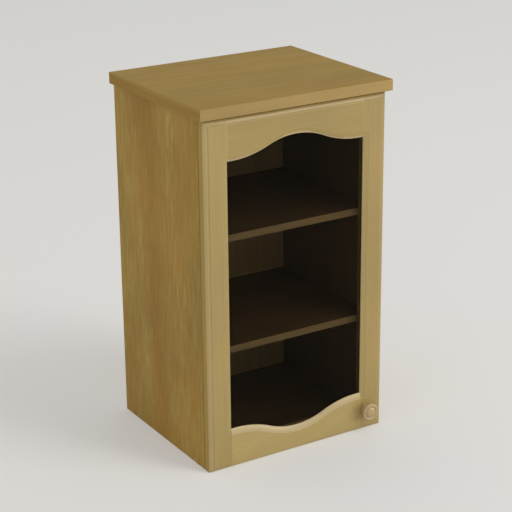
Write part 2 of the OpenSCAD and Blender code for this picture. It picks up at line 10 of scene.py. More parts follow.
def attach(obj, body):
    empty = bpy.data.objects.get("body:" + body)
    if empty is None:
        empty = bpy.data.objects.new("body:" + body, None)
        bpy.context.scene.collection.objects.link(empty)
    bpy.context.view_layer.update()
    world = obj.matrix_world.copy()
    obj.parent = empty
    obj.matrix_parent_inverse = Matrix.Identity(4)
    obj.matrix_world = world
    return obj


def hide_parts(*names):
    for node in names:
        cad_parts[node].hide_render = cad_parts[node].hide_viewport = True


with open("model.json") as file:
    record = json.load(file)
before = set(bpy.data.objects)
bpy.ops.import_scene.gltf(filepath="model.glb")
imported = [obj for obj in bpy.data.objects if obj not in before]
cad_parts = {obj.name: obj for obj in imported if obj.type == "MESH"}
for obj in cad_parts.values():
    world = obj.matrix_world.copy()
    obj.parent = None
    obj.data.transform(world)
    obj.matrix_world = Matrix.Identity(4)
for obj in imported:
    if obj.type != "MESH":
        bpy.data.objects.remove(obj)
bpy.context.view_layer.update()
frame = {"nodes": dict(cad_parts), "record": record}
nodes = frame["nodes"]
bodyOf = {n: body for body, names in frame["record"]["behaviour"]["bodies"].items() for n in names}
bpy.ops.object.select_all(action="DESELECT")
print("frame loaded:", len(nodes), "nodes")


# Camera, floor and light

cameraView = {
    "place": (-1.537, -2.688, 1.423),
    "yaw": 31.65,       # degrees from +Y towards +X
    "pitch": -19.99,
    "roll": -0.57,
    "lens": 111.0,      # millimetres
    "film": 36,         # millimetres wide
    "reach": 100,
}

studio = {
    "floorSize": 60,
    "floorDrop": 0.0005,
    "floorColour": (0.93, 0.925, 0.91),   # what lights the object from below
    "floorSeen": (0.72, 0.72, 0.71),      # what the camera sees of it
    "floorGlow": 0.3,
    "backColour": (0.74, 0.74, 0.73),
    "skyColour": (1.0, 0.985, 0.96),
    "skyPower": 0.5,
}

lampAim = (0, -0.2, 0.35)

lamps = {
    "keyLamp": {"place": (7.2, -6.2, 1.1), "size": (3.0, 2.6), "watts": 188, "tint": (1, 0.97, 0.93)},
    "highLamp": {"place": (4.6, -7.9, 3.7), "size": (2.2, 5.0), "watts": 122, "tint": (1, 0.98, 0.96)},
    "topLamp": {"place": (3.2, -4.9, 7.2), "size": (3.2, 4.4), "watts": 130, "tint": (1, 0.97, 0.95)},
    "fillLamp": {"place": (-7.0, -4.0, 1.0), "size": (1.3, 3.6), "watts": 46, "tint": (1, 0.97, 0.94)},
}


def makeCamera(view):
    bpy.ops.object.camera_add(location=view["place"])
    camera = bpy.context.object
    camera.name = "studioCamera"
    yaw, pitch, roll = (math.radians(view[k]) for k in ("yaw", "pitch", "roll"))
    ahead = Vector((math.sin(yaw) * math.cos(pitch), math.cos(yaw) * math.cos(pitch), math.sin(pitch)))
    level = Vector((math.cos(yaw), -math.sin(yaw), 0))
    up = level.cross(ahead)
    right = level * math.cos(roll) + up * math.sin(roll)
    top = up * math.cos(roll) - level * math.sin(roll)
    turn = Matrix((right, top, -ahead)).transposed().to_4x4()
    camera.matrix_world = Matrix.Translation(view["place"]) @ turn
    camera.data.lens = view["lens"]
    camera.data.sensor_width = view["film"]
    camera.data.clip_end = view["reach"]
    bpy.context.scene.camera = camera


def makeFloor():
    bpy.ops.mesh.primitive_plane_add(size=studio["floorSize"], location=(0, 0, -studio["floorDrop"]))
    floor = bpy.context.object
    floor.name = "studioFloor"
    material, tree = newMaterial("palePaper")
    plain = put(tree, "BsdfDiffuse", {"Color": (*studio["floorColour"], 1)})
    pale = put(tree, "BsdfDiffuse", {"Color": (*studio["floorSeen"], 1)})
    glow = put(tree, "Emission", {"Color": (*studio["floorSeen"], 1), "Strength": studio["floorGlow"]})
    pale = put(tree, "AddShader", {0: pale.outputs[0], 1: glow.outputs[0]})
    mix = put(tree, "MixShader", {0: seenRays(tree), 1: plain.outputs[0], 2: pale.outputs[0]})
    put(tree, "OutputMaterial", {"Surface": mix.outputs[0]})
    floor.data.materials.append(material)


# 1 for what the camera sees, straight or in metal and glass
def seenRays(tree):
    rays = put(tree, "LightPath").outputs
    seen = maths(tree, "MAXIMUM", rays["Is Camera Ray"], rays["Is Glossy Ray"])
    return maths(tree, "MAXIMUM", seen, rays["Is Transmission Ray"])


# The sky lights the object evenly, and what the camera, metal and glass see of it is pale paper
def makeSky():
    world = bpy.data.worlds.new("studioSky")
    bpy.context.scene.world = world
    world.use_nodes = True
    tree = world.node_tree
    tree.nodes.clear()
    light = put(tree, "Background", {"Color": (*studio["skyColour"], 1), "Strength": studio["skyPower"]})
    paper = put(tree, "Background", {"Color": (*studio["backColour"], 1)})
    mix = put(tree, "MixShader", {0: seenRays(tree), 1: light.outputs[0], 2: paper.outputs[0]})
    put(tree, "OutputWorld", {"Surface": mix.outputs[0]})


def makeLamps():
    for name, lamp in lamps.items():
        bpy.ops.object.light_add(type="AREA", location=lamp["place"])
        light = bpy.context.object
        light.name = name
        light.data.shape = "RECTANGLE"
        light.data.size, light.data.size_y = lamp["size"]
        light.data.energy = lamp["watts"]
        light.data.color = lamp["tint"]
        aim = Vector(lampAim) - Vector(lamp["place"])
        light.rotation_mode = "QUATERNION"
        light.rotation_quaternion = aim.to_track_quat("-Z", "Y")


# Node helpers

# Adds a node, sets its options, and links or sets its sockets
def put(tree, kind, sockets=None, **options):
    node = tree.nodes.new("ShaderNode" + kind)
    for key, value in options.items():
        setattr(node, key, value)
    for key, value in (sockets or {}).items():
        if isinstance(value, bpy.types.NodeSocket):
            tree.links.new(value, node.inputs[key])
        else:
            node.inputs[key].default_value = value
    return node


def newMaterial(name):
    material = bpy.data.materials.new(name)
    material.use_nodes = True
    material.node_tree.nodes.clear()
    return material, material.node_tree


# Sockets 6 and 7 and output 2 are the Mix node's sockets for colours
def mixColour(tree, factor, first, second, kind="MIX"):
    first, second = ((*c, 1) if isinstance(c, tuple) and len(c) == 3 else c for c in (first, second))
    node = put(tree, "Mix", {0: factor, 6: first, 7: second}, data_type="RGBA", blend_type=kind)
    return node.outputs[2]


def maths(tree, operation, first, second):
    return put(tree, "Math", {0: first, 1: second}, operation=operation).outputs[0]


def times(tree, first, second):
    return maths(tree, "MULTIPLY", first, second)


def plus(tree, first, second):
    return maths(tree, "ADD", first, second)


# Carries the range from low to high over to the one from floor to ceiling, and stops at its ends
def ramp(tree, factor, low, high, floor=0.0, ceiling=1.0):
    node = put(tree, "MapRange", {"Value": factor, "From Min": low, "From Max": high,
                                  "To Min": floor, "To Max": ceiling})
    return node.outputs["Result"]


def stretch(tree, vector, factors):
    return put(tree, "VectorMath", {0: vector, 1: factors}, operation="MULTIPLY").outputs[0]


# Noise whose marks run along Z: the smaller short is, the longer they are
def marks(tree, place, scale, detail, rough, short=None):
    if short:
        place = stretch(tree, place, (1, 1, short))
    sockets = {"Vector": place, "Scale": scale, "Detail": detail, "Roughness": rough}
    return put(tree, "TexNoise", sockets).outputs


def relief(tree, height, strength, depth):
    return put(tree, "Bump", {"Height": height, "Strength": strength, "Distance": depth}).outputs[0]


def makeSurface(tree, sockets):
    shader = put(tree, "BsdfPrincipled", sockets)
    put(tree, "OutputMaterial", {"Surface": shader.outputs[0]})


# Wood

grainTurns = {"X": (0, -90, 0), "Y": (90, 0, 0), "Z": (0, 0, 0)}      # degrees, from the grain along Z

# pale, deep and warm are the colours. heart is the distance of the board from the middle of the
# trunk, lean its tilt in degrees, and rings how close the growth rings lie. figure, streaks and
# blotches say how strong these are, and shift which part of the pattern shows. squeeze is how short
# the streaks are, waver how far the grain strays from straight, patches how strong its warm spots
# are, wear how pale the rubbed edges get, and band a darker strip of heartwood: its middle, half
# width, drift along the grain and depth
woods = {
    "sideVeneer": {"grain": "Z", "pale": (0.505, 0.364, 0.099), "deep": (0.33, 0.206, 0.045),
                   "warm": (0.41, 0.224, 0.044), "heart": (0.27, 0.13), "lean": (1.6, 0.8), "rings": 34,
                   "figure": 0.6, "streaks": 0.85, "blotches": 0.95, "shift": (0.3, 0.1, 0.2),
                   "gloss": 0.08, "rough": 0.5, "squeeze": 0.15, "waver": 0.13, "patches": 0.65,
                   "band": (-0.152, 0.055, 0.045, 0.8)},
    "sideLipping": {"grain": "Z", "pale": (0.61, 0.42, 0.12), "deep": (0.51, 0.33, 0.085),
                    "warm": (0.57, 0.36, 0.095), "heart": (0.27, 0.13), "lean": (1.6, 0.8), "rings": 34,
                    "figure": 0.35, "streaks": 0.45, "blotches": 0.5, "shift": (1.3, 2.1, 0.6),
                    "gloss": 0.1, "rough": 0.45},
    "boardVeneer": {"grain": "X", "pale": (0.43, 0.301, 0.083), "deep": (0.33, 0.208, 0.05),
                    "warm": (0.41, 0.24, 0.057), "heart": (-0.62, 0.19), "lean": (0.7, 1.3), "rings": 26,
                    "figure": 0.4, "streaks": 0.48, "blotches": 0.7, "shift": (1.1, 4.2, 0.4),
                    "gloss": 0.06, "rough": 0.55, "squeeze": 0.07, "waver": 0.08, "patches": 0.45},
    "boardLipping": {"grain": "X", "pale": (0.43, 0.305, 0.118), "deep": (0.36, 0.24, 0.085),
                     "warm": (0.42, 0.27, 0.1), "heart": (-0.62, 0.19), "lean": (0.7, 1.3), "rings": 26,
                     "figure": 0.3, "streaks": 0.35, "blotches": 0.6, "shift": (4.1, 1.2, 2.4),
                     "gloss": 0.12, "rough": 0.45},
    "boardEnd": {"grain": "Y", "pale": (0.44, 0.30, 0.085), "deep": (0.33, 0.2, 0.05),
                 "warm": (0.37, 0.205, 0.048), "heart": (-0.5, 0.19), "lean": (0.7, 1.3), "rings": 26,
                 "figure": 0.55, "streaks": 0.45, "blotches": 0.9, "shift": (1.7, 3.2, 5.4),
                 "gloss": 0.04, "rough": 0.6},
    # Shelves and the inner top and bottom panels: veneer made very dark as painted shade of the dim inside
    # behind the glass; their lippings keep the wood's own tone
    "shelfVeneer": {"grain": "X", "pale": (0.205, 0.134, 0.045), "deep": (0.16, 0.099, 0.029),
                    "warm": (0.185, 0.107, 0.03), "heart": (-0.4, 0.17), "lean": (-0.8, 1.0), "rings": 30,
                    "figure": 0.35, "streaks": 0.45, "blotches": 0.45, "shift": (5.1, 0.2, 3.4),
                    "gloss": 0.08, "rough": 0.5},
    "shelfLipping": {"grain": "X", "pale": (0.49, 0.37, 0.185), "deep": (0.41, 0.29, 0.125),
                     "warm": (0.46, 0.32, 0.14), "heart": (-0.4, 0.17), "lean": (-0.8, 1.0), "rings": 30,
                     "figure": 0.35, "streaks": 0.45, "blotches": 0.6, "shift": (1.1, 2.2, 0.4),
                     "gloss": 0.12, "rough": 0.45},
    # Inner faces of the sides: the same veneer made far darker than the outer faces, as painted shade of
    # the dim inside behind the glass
    "insideVeneerPaintedShade": {"grain": "Z", "pale": (0.185, 0.124, 0.043), "deep": (0.142, 0.088, 0.026),
                     "warm": (0.162, 0.093, 0.026), "heart": (0.31, 0.1), "lean": (1.2, -0.9), "rings": 30,
                     "figure": 0.4, "streaks": 0.5, "blotches": 0.4, "shift": (2.3, 0.7, 1.2),
                     "gloss": 0.08, "rough": 0.5},
    "stileWood": {"grain": "Z", "pale": (0.425, 0.318, 0.121), "deep": (0.358, 0.25, 0.085),
                  "warm": (0.406, 0.273, 0.096), "heart": (0.09, 0.42), "lean": (0.5, 0.9), "rings": 30,
                  "figure": 0.26, "streaks": 0.36, "blotches": 0.5, "shift": (0.7, 2.2, 0.9),
                  "gloss": 0.34, "rough": 0.3, "wear": 0.95, "squeeze": 0.06},
    # The door's side edges: a slightly darker, warmer and duller copy of the stile wood, as painted shade
    # of faces turned from the light
    "stileEdge": {"grain": "Z", "pale": (0.455, 0.318, 0.092), "deep": (0.36, 0.23, 0.06),
                  "warm": (0.42, 0.25, 0.062), "heart": (0.09, 0.42), "lean": (0.5, 0.9), "rings": 30,
                  "figure": 0.3, "streaks": 0.4, "blotches": 0.5, "shift": (0.7, 2.2, 0.9),
                  "gloss": 0.08, "rough": 0.5, "wear": 0.5},
    # The stiles' mouldings and inner bead: a paler copy of the stile wood, as a painted highlight where
    # light catches them
    "stileBead": {"grain": "Z", "pale": (0.462, 0.357, 0.152), "deep": (0.397, 0.293, 0.114),
                  "warm": (0.443, 0.315, 0.127), "heart": (0.09, 0.42), "lean": (0.5, 0.9), "rings": 30,
                  "figure": 0.24, "streaks": 0.32, "blotches": 0.5, "shift": (0.7, 2.2, 0.9),
                  "gloss": 0.4, "rough": 0.3, "wear": 0.6, "squeeze": 0.06},
    # The top rail: a little darker than the stiles, as painted shade that takes back the stronger lamp
    # light at the top of the door
    "topRailWood": {"grain": "X", "pale": (0.403, 0.3, 0.109), "deep": (0.342, 0.238, 0.079),
                    "warm": (0.385, 0.258, 0.087), "heart": (-0.31, 0.4), "lean": (-0.5, 0.9), "rings": 28,
                    "figure": 0.26, "streaks": 0.3, "blotches": 0.55, "shift": (6.4, 2.3, 1.7),
                    "gloss": 0.34, "rough": 0.3, "wear": 0.95, "squeeze": 0.06},
    # The bottom rail: a little paler than the stiles, as painted light that makes up for the weaker lamp
    # light at the bottom of the door
    "lowRailWoodPaintedLight": {"grain": "X", "pale": (0.465, 0.36, 0.142), "deep": (0.397, 0.288, 0.104),
                    "warm": (0.445, 0.312, 0.114), "heart": (-0.2, 0.43), "lean": (0.6, -0.8), "rings": 28,
                    "figure": 0.26, "streaks": 0.3, "blotches": 0.55, "shift": (3.7, 1.6, 0.2),
                    "gloss": 0.34, "rough": 0.3, "wear": 0.95, "squeeze": 0.06},
    # The top rail's moulding: a paler copy of its wood on faces looking up, as a painted highlight of
    # light from above
    "topBead": {"grain": "X", "pale": (0.51, 0.388, 0.182), "deep": (0.435, 0.322, 0.142),
                "warm": (0.485, 0.35, 0.158), "heart": (-0.31, 0.4), "lean": (-0.5, 0.9), "rings": 28,
                "figure": 0.24, "streaks": 0.3, "blotches": 0.6, "shift": (6.4, 2.3, 1.7),
                "gloss": 0.4, "rough": 0.3, "wear": 0.6},
    # The bottom rail's up-facing bead and the top rail's down-facing arch edge: a much paler copy of the
    # rail wood, as a painted highlight
    "beadWoodPaintedHighlight": {"grain": "X", "pale": (0.54, 0.43, 0.225), "deep": (0.47, 0.36, 0.175),
                 "warm": (0.52, 0.39, 0.19), "heart": (-0.2, 0.43), "lean": (0.6, -0.8), "rings": 28,
                 "figure": 0.22, "streaks": 0.3, "blotches": 0.6, "shift": (3.7, 1.6, 0.2),
                 "gloss": 0.42, "rough": 0.32, "wear": 0.3},
    "stripWood": {"grain": "Z", "pale": (0.44, 0.332, 0.135), "deep": (0.36, 0.25, 0.09),
                  "warm": (0.41, 0.275, 0.1), "heart": (0.2, 0.41), "lean": (0.3, 0.5), "rings": 40,
                  "figure": 0.3, "streaks": 0.4, "blotches": 0.3, "shift": (6.2, 0.4, 2.9),
                  "gloss": 0.12, "rough": 0.4},
    "knobWood": {"grain": "Y", "pale": (0.5, 0.395, 0.2), "deep": (0.41, 0.3, 0.13),
                 "warm": (0.48, 0.34, 0.155), "heart": (-0.15, 0.1), "lean": (2.0, 3.0), "rings": 60,
                 "figure": 0.5, "streaks": 0.4, "blotches": 0.3, "shift": (0.2, 0.4, 5.9),
                 "gloss": 0.5, "rough": 0.24},
    "railBeech": {"grain": "X", "pale": (0.52, 0.36, 0.19), "deep": (0.42, 0.27, 0.12),
                  "warm": (0.48, 0.29, 0.14), "heart": (-0.72, 0.1), "lean": (0.6, 0.8), "rings": 40,
                  "figure": 0.35, "streaks": 0.4, "blotches": 0.4, "shift": (7.7, 1.1, 0.8),
                  "gloss": 0.1, "rough": 0.55},
}
woods["crossStripWood"] = {**woods["stripWood"], "grain": "X", "shift": (2.2, 8.4, 1.9)}

# The rest is shared by all the woods. Of four numbers, the first two are the values of a noise
# between which an effect grows, and the last two what it grows from and to
longMarks = 0.035

woodNoises = {
    "bend": {"scale": 4.5, "detail": 3, "rough": 0.55, "short": 0.22},
    "bands": {"scale": 26, "detail": 2.5, "rough": 0.5},
    "streaks": {"scale": 120, "detail": 5, "rough": 0.62},
    "fibres": {"scale": 1500, "detail": 2, "rough": 0.6, "short": longMarks},
    "blotches": {"scale": 8, "detail": 2.5, "rough": 0.5, "short": 0.45},
    "sway": {"scale": 7, "detail": 3, "rough": 0.55, "short": 0.5},
    "patches": {"scale": 34, "detail": 4, "rough": 0.7, "short": 0.3},
}

woodFlecks = {"scale": 420, "short": 0.11}

woodTones = {
    "streaks": (0.34, 0.7),
    "lateWood": 0.55,
    "bands": (0.36, 0.66),
    "patches": (0.5, 0.68),
    "blotches": (0.3, 0.7),
    "blotchDark": 0.16,
    "blotchPale": 0.12,
    "fibres": (0.25, 0.75, 0.955, 1.035),
    "flecks": (0.06, 0.2, 0.9, 1.0),
}

growthRings = {"waver": 0.05, "middle": (0.5, 0.5, 0.5), "distortion": 1.2, "detail": 3.0,
               "detailScale": 2.5, "lateness": 1.8}

heartwood = {"sway": 0.05, "core": 0.25, "breaks": (0.25, 0.6, 0.55, 1), "darker": 0.88}

wornEdges = {"radius": 0.0016, "samples": 4, "turn": (0.985, 0.8), "breaks": (0.3, 0.6, 0.3, 1),
             "wear": 0.35, "paler": 1.3}

woodRelief = {"fibres": 0.5, "streaks": 0.8, "flecks": (0.0, 0.2, 0, 0.5), "strength": 0.22,
              "depth": 0.0004, "gloss": (0.3, 0.7), "smoother": 0.05, "rougher": 0.07}


# Growth rings, bent a little along the board, and strongest where the late wood is
def drawRings(tree, along, moved, look):
    lean = tuple(math.radians(a) for a in (*look["lean"], 0))
    trunk = put(tree, "Mapping", {"Vector": along, "Location": (*look["heart"], 0), "Rotation": lean})
    bend = marks(tree, moved, **woodNoises["bend"])["Color"]
    bend = put(tree, "VectorMath", {0: bend, 1: growthRings["middle"]}, operation="SUBTRACT").outputs[0]
    waver = look.get("waver", growthRings["waver"])
    bend = stretch(tree, bend, (waver, waver, 0))
    bent = put(tree, "VectorMath", {0: trunk.outputs[0], 1: bend}, operation="ADD").outputs[0]
    sockets = {"Vector": bent, "Scale": look["rings"], "Distortion": growthRings["distortion"],
               "Detail": growthRings["detail"], "Detail Scale": growthRings["detailScale"]}
    rings = put(tree, "TexWave", sockets, wave_type="RINGS", rings_direction="Z", wave_profile="SAW")
    return maths(tree, "POWER", rings.outputs["Fac"], growthRings["lateness"])


# A darker strip of heartwood that sways along the board and is broken up by its streaks
def addHeartwood(tree, colour, along, moved, streaks, look):
    middle, half, drift, depth = look["band"]
    straight = put(tree, "SeparateXYZ", {0: along}).outputs
    sway = marks(tree, moved, **woodNoises["sway"])["Fac"]
    sway = ramp(tree, sway, 0, 1, -heartwood["sway"], heartwood["sway"])
    path = plus(tree, times(tree, straight["Z"], drift), middle)
    off = plus(tree, maths(tree, "SUBTRACT", straight["Y"], path), sway)
    off = put(tree, "Math", {0: off}, operation="ABSOLUTE").outputs[0]
    inside = ramp(tree, off, half, half * heartwood["core"], 0, depth)
    inside = times(tree, inside, ramp(tree, streaks, *heartwood["breaks"]))
    return mixColour(tree, inside, colour, tuple(c * heartwood["darker"] for c in look["warm"]))


# Handled edges lose a little of their tone
def wearEdges(tree, colour, streaks, look):
    rounded = put(tree, "Bevel", {"Radius": wornEdges["radius"]}, samples=wornEdges["samples"]).outputs[0]
    flat = put(tree, "NewGeometry").outputs["Normal"]
    facing = put(tree, "VectorMath", {0: rounded, 1: flat}, operation="DOT_PRODUCT").outputs["Value"]
    worn = ramp(tree, facing, *wornEdges["turn"], 0, look.get("wear", wornEdges["wear"]))
    worn = times(tree, worn, ramp(tree, streaks, *wornEdges["breaks"]))
    return mixColour(tree, worn, colour, tuple(c * wornEdges["paler"] for c in look["pale"]))


def makeWood(name, look):
    material, tree = newMaterial(name)
    place = put(tree, "TexCoord").outputs["Object"]
    turn = tuple(math.radians(a) for a in grainTurns[look["grain"]])
    along = put(tree, "Mapping", {"Vector": place, "Rotation": turn}).outputs[0]
    moved = put(tree, "Mapping", {"Vector": along, "Location": look["shift"]}).outputs[0]

    # From broad bands down to single fibres
    squeeze = look.get("squeeze", longMarks)
    late = drawRings(tree, along, moved, look)
    bands = marks(tree, moved, **woodNoises["bands"], short=squeeze)["Fac"]
    streaks = marks(tree, moved, **woodNoises["streaks"], short=squeeze)["Fac"]
    fibres = marks(tree, moved, **woodNoises["fibres"])["Fac"]
    blotches = marks(tree, moved, **woodNoises["blotches"])["Fac"]
    flecks = stretch(tree, moved, (1, 1, woodFlecks["short"]))
    flecks = put(tree, "TexVoronoi", {"Vector": flecks, "Scale": woodFlecks["scale"]}).outputs[0]

    share = times(tree, ramp(tree, streaks, *woodTones["streaks"]), look["streaks"])
    colour = mixColour(tree, share, look["pale"], look["deep"])
    share = times(tree, late, look["figure"] * woodTones["lateWood"])
    colour = mixColour(tree, share, colour, look["deep"])
    share = times(tree, ramp(tree, bands, *woodTones["bands"]), look["figure"])
    colour = mixColour(tree, share, colour, look["warm"])
    if "band" in look:
        colour = addHeartwood(tree, colour, along, moved, streaks, look)
    if "patches" in look:
        patches = marks(tree, moved, **woodNoises["patches"])["Fac"]
        patches = ramp(tree, patches, *woodTones["patches"], 0, look["patches"])
        colour = mixColour(tree, patches, colour, look["warm"])

    dark = 1 - woodTones["blotchDark"] * look["blotches"]
    pale = 1 + woodTones["blotchPale"] * look["blotches"]
    tone = ramp(tree, blotches, *woodTones["blotches"], dark, pale)
    tone = times(tree, tone, ramp(tree, fibres, *woodTones["fibres"]))
    tone = times(tree, tone, ramp(tree, flecks, *woodTones["flecks"]))
    tones = put(tree, "CombineXYZ", {0: tone, 1: tone, 2: tone}).outputs[0]
    colour = mixColour(tree, 1.0, colour, tones, "MULTIPLY")
    colour = wearEdges(tree, colour, streaks, look)

    height = times(tree, fibres, woodRelief["fibres"])
    height = plus(tree, height, times(tree, streaks, woodRelief["streaks"]))
    height = plus(tree, height, ramp(tree, flecks, *woodRelief["flecks"]))
    rough = ramp(tree, streaks, *woodRelief["gloss"], look["rough"] - woodRelief["smoother"],
                 look["rough"] + woodRelief["rougher"])
    makeSurface(tree, {
        "Base Color": colour, "Roughness": rough, "Specular IOR Level": look["gloss"],
        "Normal": relief(tree, height, woodRelief["strength"], woodRelief["depth"])})
    return material


# Thin hardboard behind the shelves: pressed fibre under a brown foil
hardboard = {
    "pale": (0.82, 0.61, 0.25),
    "deep": (0.71, 0.51, 0.195),
    "fleck": (0.54, 0.36, 0.13),
    "streaks": {"scale": 70, "detail": 4, "rough": 0.6, "short": 0.05},
    "streakTones": (0.35, 0.65),
    "mottle": {"scale": 240, "detail": 4, "rough": 0.7},
    "mottleTones": (0.4, 0.7, 0, 0.3),
    "rough": (0.3, 0.7, 0.5, 0.66),
    "gloss": 0.3,
    "relief": (0.15, 0.0004),       # strength and depth
}


def makeHardboard(name, look):
    material, tree = newMaterial(name)
    place = put(tree, "TexCoord").outputs["Object"]
    streaks = marks(tree, place, **look["streaks"])["Fac"]
    mottle = marks(tree, place, **look["mottle"])["Fac"]
    colour = mixColour(tree, ramp(tree, streaks, *look["streakTones"]), look["pale"], look["deep"])
    colour = mixColour(tree, ramp(tree, mottle, *look["mottleTones"]), colour, look["fleck"])
    makeSurface(tree, {
        "Base Color": colour, "Roughness": ramp(tree, mottle, *look["rough"]),
        "Specular IOR Level": look["gloss"], "Normal": relief(tree, mottle, *look["relief"])})
    return material


metals = {
    "nickelSteel": {"colour": (0.66, 0.65, 0.63), "dull": (0.5, 0.49, 0.47), "rough": (0.22, 0.4),
                    "grain": 900},
    "castZinc": {"colour": (0.56, 0.56, 0.57), "dull": (0.4, 0.4, 0.41), "rough": (0.36, 0.55),
                 "grain": 1400},
    "platedScrew": {"colour": (0.7, 0.68, 0.62), "dull": (0.5, 0.47, 0.41), "rough": (0.25, 0.42),
                    "grain": 1800},
}

metalSkin = {
    "haze": {"scale": 60, "detail": 4, "rough": 0.6},
    "hazeTones": (0.35, 0.7),
    "brush": {"detail": 3, "rough": 0.6, "short": 0.12},
    "brushTones": (0.3, 0.7),
    "pits": {"detail": 2, "rough": 0.5},
    "pitScale": 1.6,                # of the metal's grain
    "pitDepth": 0.4,
    "relief": (0.12, 0.0002),       # strength and depth
}


def makeMetal(name, look):
    material, tree = newMaterial(name)
    place = put(tree, "TexCoord").outputs["Object"]
    haze = marks(tree, place, **metalSkin["haze"])["Fac"]
    brush = marks(tree, place, look["grain"], **metalSkin["brush"])["Fac"]
    pits = marks(tree, place, look["grain"] * metalSkin["pitScale"], **metalSkin["pits"])["Fac"]
    colour = mixColour(tree, ramp(tree, haze, *metalSkin["hazeTones"]), look["colour"], look["dull"])
    height = plus(tree, brush, times(tree, pits, metalSkin["pitDepth"]))
    makeSurface(tree, {
        "Base Color": colour, "Metallic": 1.0,
        "Roughness": ramp(tree, brush, *metalSkin["brushTones"], *look["rough"]),
        "Normal": relief(tree, height, *metalSkin["relief"])})
    return material


smokedGlass = {
    "colour": (0.46, 0.43, 0.39),
    "bend": 1.12,                   # less than real glass, or it would mirror the pale backdrop
    "wave": {"scale": 9, "detail": 1, "rough": 0.4},
    "relief": (0.03, 0.002),        # strength and depth
    "smear": {"scale": 14, "detail": 4, "rough": 0.6, "short": 0.6},
    "rough": (0.45, 0.75, 0.0, 0.012),
}


def makeGlass(name, look):
    material, tree = newMaterial(name)
    place = put(tree, "TexCoord").outputs["Object"]
    wave = marks(tree, place, **look["wave"])["Fac"]
    smear = marks(tree, place, **look["smear"])["Fac"]
    makeSurface(tree, {
        "Base Color": (*look["colour"], 1), "Transmission Weight": 1.0, "IOR": look["bend"],
        "Roughness": ramp(tree, smear, *look["rough"]), "Normal": relief(tree, wave, *look["relief"])})
    return material


silicone = {
    "clear": (0.66, 0.66, 0.62),
    "cloudy": (0.56, 0.55, 0.5),
    "cloud": {"scale": 300, "detail": 3, "rough": 0.6},
    "cloudTones": (0.3, 0.7),
    "rough": (0.3, 0.45),
    "light": 0.3,                   # share of the light that passes through
    "bend": 1.42,
    "relief": (0.1, 0.0002),        # strength and depth
}


def makeSilicone(name, look):
    material, tree = newMaterial(name)
    place = put(tree, "TexCoord").outputs["Object"]
    cloud = marks(tree, place, **look["cloud"])["Fac"]
    colour = mixColour(tree, ramp(tree, cloud, *look["cloudTones"]), look["clear"], look["cloudy"])
    makeSurface(tree, {
        "Base Color": colour, "Roughness": ramp(tree, cloud, *look["cloudTones"], *look["rough"]),
        "Transmission Weight": look["light"], "IOR": look["bend"],
        "Normal": relief(tree, cloud, *look["relief"])})
    return material


makeCamera(cameraView)
makeFloor()
makeSky()
makeLamps()
bpy.context.scene.view_settings.view_transform = "Standard"
print("camera, floor and light made")

finishes = {name: makeWood(name, look) for name, look in woods.items()}
finishes.update({name: makeMetal(name, look) for name, look in metals.items()})
finishes["hardboard"] = makeHardboard("hardboard", hardboard)
finishes["tintedGlass"] = makeGlass("tintedGlass", smokedGlass)
finishes["silicone"] = makeSilicone("silicone", silicone)
print("materials made:", len(finishes))


# Pieces

def pickOnly(piece):
    bpy.ops.object.select_all(action="DESELECT")
    piece.select_set(True)
    bpy.context.view_layer.objects.active = piece


def dress(piece, finish):
    piece.data.materials.clear()
    piece.data.materials.append(finishes[finish])


doorFront = min(vertex.co.y for vertex in nodes["left_stile"].data.vertices)

# The low step behind each moulding of the door has its crest rounded
doorStep = {
    "pieces": ("left_stile", "right_stile", "top_rail", "bottom_rail"),
    "depth": 0.0011,        # the step goes back no further than this
    "level": 0.00002,       # and this counts as the door's front
    "flat": 0.9,            # how squarely a flat face looks to the front, at least
    "wall": 0.3,            # and the wall of a step, at most
    "crest": 0.0009,
    "rounds": 3,
    "profile": 0.5,
}

easing = {
    "merge": 0.000002,      # points nearer than this are one
    "flat": 0.4,            # degrees between faces that are one
    "sharp": 32,            # degrees from which an edge is eased
    "rounds": 2,
}


# Picks the edges where the door's front meets the wall of a step
def pickStepEdges(piece):
    mesh = piece.data
    level = doorStep["level"]
    around = {}
    for face in mesh.polygons:
        depth = max(mesh.vertices[v].co.y for v in face.vertices) - doorFront
        for key in face.edge_keys:
            around.setdefault(key, []).append((depth, abs(face.normal.y)))
    count = 0
    for edge in mesh.edges:
        ends = [mesh.vertices[v].co.y for v in edge.vertices]
        faces = around.get(tuple(sorted(edge.vertices)), [])
        flat = any(depth < level and facing > doorStep["flat"] for depth, facing in faces)
        wall = any(level < depth < doorStep["depth"] and facing < doorStep["wall"]
                   for depth, facing in faces)
        edge.select = max(ends) - doorFront < level and flat and wall
        count += edge.select
    return count


def roundStep(piece):
    bpy.ops.mesh.select_all(action="DESELECT")
    bpy.ops.object.mode_set(mode="OBJECT")
    print("step edges of", piece.name, pickStepEdges(piece))
    bpy.ops.object.mode_set(mode="EDIT")
    bpy.ops.mesh.bevel(offset=doorStep["crest"], segments=doorStep["rounds"], profile=doorStep["profile"])


# A node left_side gives a piece leftSide
def pieceName(node):
    first, *others = node.split("_")
    return first + "".join(word.capitalize() for word in others)


